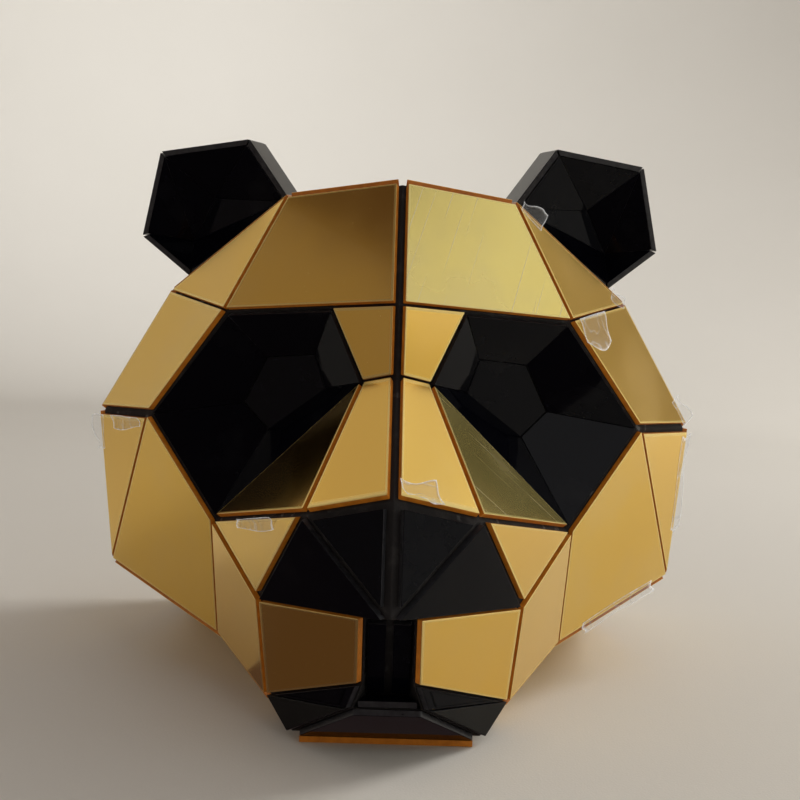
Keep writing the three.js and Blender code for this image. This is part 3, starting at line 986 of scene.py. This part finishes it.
@dataclass
class Ear:
    """One ear: a cup of side panels and a back, with folded panels inside its rim."""

    side: str
    cup: bpy.types.Object
    front: bpy.types.Object
    finishes: Finishes
    cup_seam: float = 0.5 * MM
    cup_bevel: float = 0.3 * MM
    front_seam: float = 0.08 * MM
    front_bevel: float = 0.08 * MM
    least_cup: float = 7.0e-4
    least_front: float = 3.0e-4

    def build(self) -> list[bpy.types.Object]:
        """Cuts the cup's panels and the folded front.

        Returns:
            The panels.
        """
        return self._cup() + self._front()

    def _cup(self) -> list[bpy.types.Object]:
        """The walls and the back: facets that face away from the cup's middle."""
        reader = FacetReader(self.cup)
        facets = [f for f in reader.facets() if f.area > self.least_cup and not f.holed]
        middle = np.mean([facet.centre for facet in facets], axis=0)
        outers = [facet for facet in facets if facet.normal @ (facet.centre - middle) > 0]
        cutter = PanelCutter(self.cup, self.finishes.black, self.cup_seam, self.cup_bevel)
        return cutter.cut(f"ear_{self.side}_cup", outers, reader.points)

    def _front(self) -> list[bpy.types.Object]:
        """The folded panels: facets that face forwards."""
        reader = FacetReader(self.front)
        fronts = [f for f in reader.facets() if f.area > self.least_front and f.normal[1] < 0]
        cutter = PanelCutter(self.front, self.finishes.black, self.front_seam, self.front_bevel)
        return cutter.cut(f"ear_{self.side}_front", fronts, reader.points)


@dataclass
class BaseShell:
    """The folded board under the plates, with softened folds."""

    node: bpy.types.Object
    finishes: Finishes
    fold: float = 0.4 * MM

    def build(self) -> bpy.types.Object:
        """Copies the frame's shell, merges its corners and rounds its folds.

        Returns:
            The shell.
        """
        mesh = self.node.data.copy()
        work = bmesh.new()
        work.from_mesh(mesh)
        bmesh.ops.remove_doubles(work, verts=work.verts, dist=0.01 * MM)
        bmesh.ops.dissolve_limit(
            work, angle_limit=math.radians(1.0), verts=work.verts, edges=work.edges
        )
        work.to_mesh(mesh)
        work.free()
        mesh.name = "shell_board"
        piece = bpy.data.objects.new("shell_board", mesh)
        bpy.context.scene.collection.objects.link(piece)
        bevel = piece.modifiers.new("fold", "BEVEL")
        bevel.width = self.fold
        bevel.segments = 2
        bevel.limit_method = "ANGLE"
        bevel.angle_limit = math.radians(8.0)
        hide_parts(self.node.name)
        log.info("base shell: %d faces", len(mesh.polygons))
        return dress(piece, self.finishes.board, "matt_base")


class Side(Enum):
    """The side of a plate that a scrap of film hangs on, as a direction."""

    OUTER_RIGHT = (1.0, 0.0, 0.1)
    OUTER_LEFT = (-1.0, 0.0, 0.1)
    UPPER = (0.0, 0.1, 1.0)
    LOWER = (0.0, 0.1, -1.0)


@dataclass
class FilmScrap:
    """A wrinkled scrap of protective film that hangs on one edge of a plate.

    It starts inside the edge, goes out over it and curls off. u runs along the edge and v
    outwards. The height over the plate is the lift times v squared, plus wrinkles that are
    sines of both, and the borders are ragged by sines of u. Start and end are shares of the
    edge, and reach, lift, overlap and wrinkle are millimetres.
    """

    name: str
    plate: str
    side: Side
    start: float
    end: float
    reach: float
    lift: float
    overlap: float
    phase: float = 0.0
    wrinkle: float = 0.5
    columns: int = 44
    rows: int = 20

    def build(self, plates: dict[str, Facet], finishes: Finishes) -> bpy.types.Object:
        """Works out the scrap on its plate.

        Args:
            plates: outer facets of the plates.
            finishes: the materials.

        Returns:
            The scrap.
        """
        face = plates[self.plate]
        ahead = np.roll(face.loop, -1, axis=0) - face.loop
        outward = np.cross(unit(ahead), face.normal)
        pick = int((outward @ np.array(self.side.value)).argmax())
        a, run, out = face.loop[pick], ahead[pick], outward[pick]
        u = np.linspace(0.0, 1.0, self.columns)[None, :]
        v = np.linspace(0.0, 1.0, self.rows)[:, None]
        ragged = 0.78 + 0.16 * np.sin(5.3 * u + self.phase) + 0.06 * np.sin(13.0 * u + 2.0 * self.phase)
        inside = self.overlap * (0.8 + 0.2 * np.sin(4.0 * u + 2.0 * self.phase))
        across = (v * (self.reach * ragged + inside) - inside) * MM
        share = self.start + (self.end - self.start) * (u + 0.04 * np.sin(6.0 * v + self.phase) * v)
        crumple = (
            np.sin(8.0 * u + 3.0 * v + self.phase)
            + 0.5 * np.sin(17.0 * u - 5.0 * v + 2.2 * self.phase)
            + 0.3 * np.sin(7.0 * v + 5.0 * u)
        )
        height = 0.2 + self.lift * v**2 * (0.65 + 0.35 * np.sin(4.0 * u + self.phase))
        height = np.maximum(height + self.wrinkle * crumple * v, 0.15) * MM
        points = (
            a
            + share[..., None] * run
            + across[..., None] * out
            + height[..., None] * face.normal
        )
        cm = np.stack([share * np.linalg.norm(run), across], axis=-1) * 100.0
        ends = np.maximum(1.0 - u / 0.05, 1.0 - (1.0 - u) / 0.05)
        sides = np.maximum(1.0 - v / 0.07, 1.0 - (1.0 - v) / 0.09)
        rim = np.clip(np.maximum(ends, sides), 0.0, 1.0)
        piece = put_mesh(
            self.name, points.reshape(-1, 3), grid_faces(self.rows, self.columns, False), cm.reshape(-1, 2)
        )
        store(piece, "rim", rim.ravel())
        piece.data.polygons.foreach_set("use_smooth", np.ones(len(piece.data.polygons), bool))
        thick = piece.modifiers.new("film", "SOLIDIFY")
        thick.thickness = 0.08 * MM
        thick.offset = 1.0
        log.info("film scrap %s on %s", self.name, self.plate)
        return dress(piece, finishes.film, None)


@dataclass
class FilmScraps:
    """All scraps of film, as the photograph shows them."""

    scraps: tuple[FilmScrap, ...] = (
        FilmScrap("film_temple_right_flap", "temple_right", Side.UPPER, 0.5, 0.93, 0.5, 2.5, 20.0),
        FilmScrap("film_temple_right_tip", "temple_right", Side.OUTER_RIGHT, 0.0, 0.2, 6.0, 4.0, 5.0, 1.3),
        FilmScrap("film_side_right", "side_right", Side.OUTER_RIGHT, 0.3, 0.97, 2.6, 2.5, 6.0, 2.1),
        FilmScrap("film_forehead_curl", "forehead_side_right", Side.UPPER, 0.8, 0.98, 6.0, 5.0, 4.0, 0.6),
        FilmScrap("film_forehead_tip", "forehead_side_right", Side.UPPER, 0.0, 0.13, 3.0, 2.0, 7.0, 2.6),
        FilmScrap("film_bridge_right", "bridge_lower_right", Side.LOWER, 0.02, 0.5, 1.5, 3.5, 14.0, 1.8),
        FilmScrap("film_cheek_right", "cheek_right", Side.LOWER, 0.2, 0.85, 6.0, 0.4, 3.0, 2.9, 0.25),
        FilmScrap("film_side_left_tip", "side_left", Side.OUTER_LEFT, 0.0, 0.24, 5.0, 3.5, 4.0, 0.9),
        FilmScrap("film_side_left_flap", "side_left", Side.UPPER, 0.1, 0.7, 0.4, 1.5, 8.0, 2.4),
        FilmScrap("film_inner_cheek_left", "inner_cheek_left", Side.UPPER, 0.25, 0.7, 1.0, 2.5, 6.0, 0.2),
    )

    def build(self, plates: dict[str, Facet], finishes: Finishes) -> list[bpy.types.Object]:
        """Builds every scrap on its plate."""
        return [scrap.build(plates, finishes) for scrap in self.scraps]


# Studio


@dataclass(frozen=True)
class SoftBox:
    """A soft light panel.

    Its radiance is set, and the power follows from it: pi times radiance times area. One that
    isn't mirrored lights the floor and the cut edges, and the mirrors don't show it.
    """

    name: str
    place: Colour
    width: float
    height: float
    radiance: float
    aim: Colour = (0.0, 0.0, 0.15)
    tint: Colour = (1.0, 1.0, 1.0)
    mirrored: bool = True

    def build(self) -> bpy.types.Object:
        """Adds the light, turned to its aim."""
        data = bpy.data.lights.new(self.name, "AREA")
        data.shape = "RECTANGLE"
        data.size, data.size_y = self.width, self.height
        data.energy = math.pi * self.radiance * self.width * self.height
        data.color = self.tint
        made = bpy.data.objects.new(self.name, data)
        made.location = self.place
        made.visible_glossy = self.mirrored
        made.visible_camera = False
        made.rotation_euler = (Vector(self.aim) - Vector(self.place)).to_track_quat("-Z", "Y").to_euler()
        bpy.context.scene.collection.objects.link(made)
        return made


@dataclass
class Studio:
    """Pale floor with a sweep behind, soft lights and the camera at the photograph's angle."""

    middle: tuple[float, float] = (0.0, -0.04)
    cloth_turns: tuple[float, float] = (-50.0, 180.0)
    level: float = 1.6
    sweep: float = 1.7
    wall: float = 3.4
    drop: float = 0.2 * MM
    room: Colour = (0.078, 0.052, 0.050)
    eye_mm: Colour = (-3.45, -638.2, 217.7)
    pitch: float = 5.68
    yaw: float = 0.54
    roll: float = 1.84
    focal_px: float = 1151.0
    photo_px: float = 800.0
    lights: tuple[SoftBox, ...] = (
        SoftBox("window_right", (1.9, -0.35, 0.75), 2.4, 2.2, 0.50, tint=(1.0, 1.0, 0.95)),
        SoftBox("window_front", (0.9, -1.5, 1.45), 0.7, 0.7, 1.1),
        SoftBox("curtain_left", (-1.7, 0.95, 1.0), 1.8, 1.5, 0.11, tint=(1.0, 0.95, 0.90)),
        SoftBox("room_left", (-1.75, -0.75, 0.7), 1.9, 1.9, 0.17, tint=(1.0, 0.90, 0.80)),
        SoftBox("high_right", (1.42, 0.82, 1.9), 1.3, 1.3, 0.60),
        SoftBox("high_left", (-1.42, 0.82, 1.9), 1.3, 1.3, 0.40, tint=(1.0, 0.96, 0.92)),
        SoftBox("sky", (0.6, 0.0, 2.8), 2.2, 2.2, 0.5),
        SoftBox("key_right", (2.0, 0.95, 1.6), 0.9, 0.9, 11.0, tint=(1.0, 0.97, 0.92), mirrored=False),
        SoftBox("wall_wash", (-0.6, 1.5, 1.6), 0.9, 0.9, 6.5, (-0.3, 3.0, 1.4), mirrored=False),
    )

    def bowl(self, name: str, start: float, end: float, cloth: bpy.types.Material) -> bpy.types.Object:
        """A profile turned about the floor's middle: level, quarter circle, wall, and triangles
        that close its pole.

        Args:
            name: the object's name.
            start: angle in degrees where the turn starts.
            end: angle in degrees where it ends.
            cloth: the material.

        Returns:
            The sheet, as a part of the stage.
        """
        bend = np.linspace(0.04, 1.0, 24) * math.pi / 2
        flat = np.linspace(0.04, 1.0, 24) ** 1.5 * self.level
        radius = np.concatenate([flat, self.level + self.sweep * np.sin(bend), [self.level + self.sweep]])
        height = np.concatenate([0.0 * flat, self.sweep * (1.0 - np.cos(bend)), [self.wall]]) - self.drop
        angle = np.radians(np.linspace(start, end, 49))
        x = self.middle[0] + radius[:, None] * np.cos(angle)
        y = self.middle[1] + radius[:, None] * np.sin(angle)
        grid = np.stack(np.broadcast_arrays(x, y, height[:, None]), axis=-1).reshape(-1, 3)
        points = np.concatenate([grid, [(*self.middle, -self.drop)]])
        column = np.arange(len(angle) - 1)
        fan = np.stack([np.full(len(column), len(grid)), column, column + 1], axis=1)
        piece = put_mesh(name, points, grid_faces(len(radius), len(angle), False) + fan.tolist())
        piece.data.polygons.foreach_set("use_smooth", np.ones(len(piece.data.polygons), bool))
        piece.data.materials.append(cloth)
        return piece

    def floor(self) -> None:
        """A level floor that turns up into a round wall.

        In the photograph the cloth ends in front of the mask and the room beyond is dark, so
        the mirrors don't show the front part.
        """
        cloth = PaleCloth("pale_cloth").material()
        start, end = self.cloth_turns
        self.bowl("floor_back", start, end, cloth)
        self.bowl("floor_front", end, start + 360.0, cloth).visible_glossy = False

    def world(self) -> None:
        """A dim, even room round the mask."""
        world = bpy.data.worlds.new("room")
        world.use_nodes = True
        background = world.node_tree.nodes["Background"]
        background.inputs["Color"].default_value = (*self.room, 1.0)
        bpy.context.scene.world = world
        bpy.context.scene.view_settings.view_transform = "Standard"

    def camera(self) -> bpy.types.Object:
        """The camera where the photograph was taken from.

        Returns:
            The camera.
        """
        pitch, yaw, roll = (math.radians(value) for value in (self.pitch, self.yaw, self.roll))
        data = bpy.data.cameras.new("view")
        data.sensor_width = 36.0
        data.lens = data.sensor_width * self.focal_px / self.photo_px
        data.clip_start, data.clip_end = 0.02, 60.0
        made = bpy.data.objects.new("view", data)
        turn = Matrix.Rotation(-yaw, 4, "Z") @ Matrix.Rotation(math.pi / 2 - pitch, 4, "X")
        shift = Matrix.Translation([value * MM for value in self.eye_mm])
        made.matrix_world = shift @ turn @ Matrix.Rotation(roll, 4, "Z")
        bpy.context.scene.collection.objects.link(made)
        bpy.context.scene.camera = made
        return made

    def build(self) -> None:
        """Builds floor, world, lights and camera."""
        self.floor()
        self.world()
        for light in self.lights:
            light.build()
        self.camera()
        log.info("studio: %d lights", len(self.lights))


def main() -> None:
    """Builds the looks round the frame."""
    logging.basicConfig(level=logging.INFO, format="%(name)s: %(message)s")
    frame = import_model()
    nodes = frame["nodes"]
    finishes = Finishes()
    faces = Plates(nodes, finishes).build()
    for side in ("left", "right"):
        EyeSocket(side, nodes[f"eye_socket_{side}"], finishes).build()
        Ear(side, nodes[f"ear_{side}"], nodes[f"ear_front_{side}"], finishes).build()
    BaseShell(nodes["base_shell"], finishes).build()
    FilmScraps().build(faces, finishes)
    Studio().build()


if __name__ == "__main__":
    main()
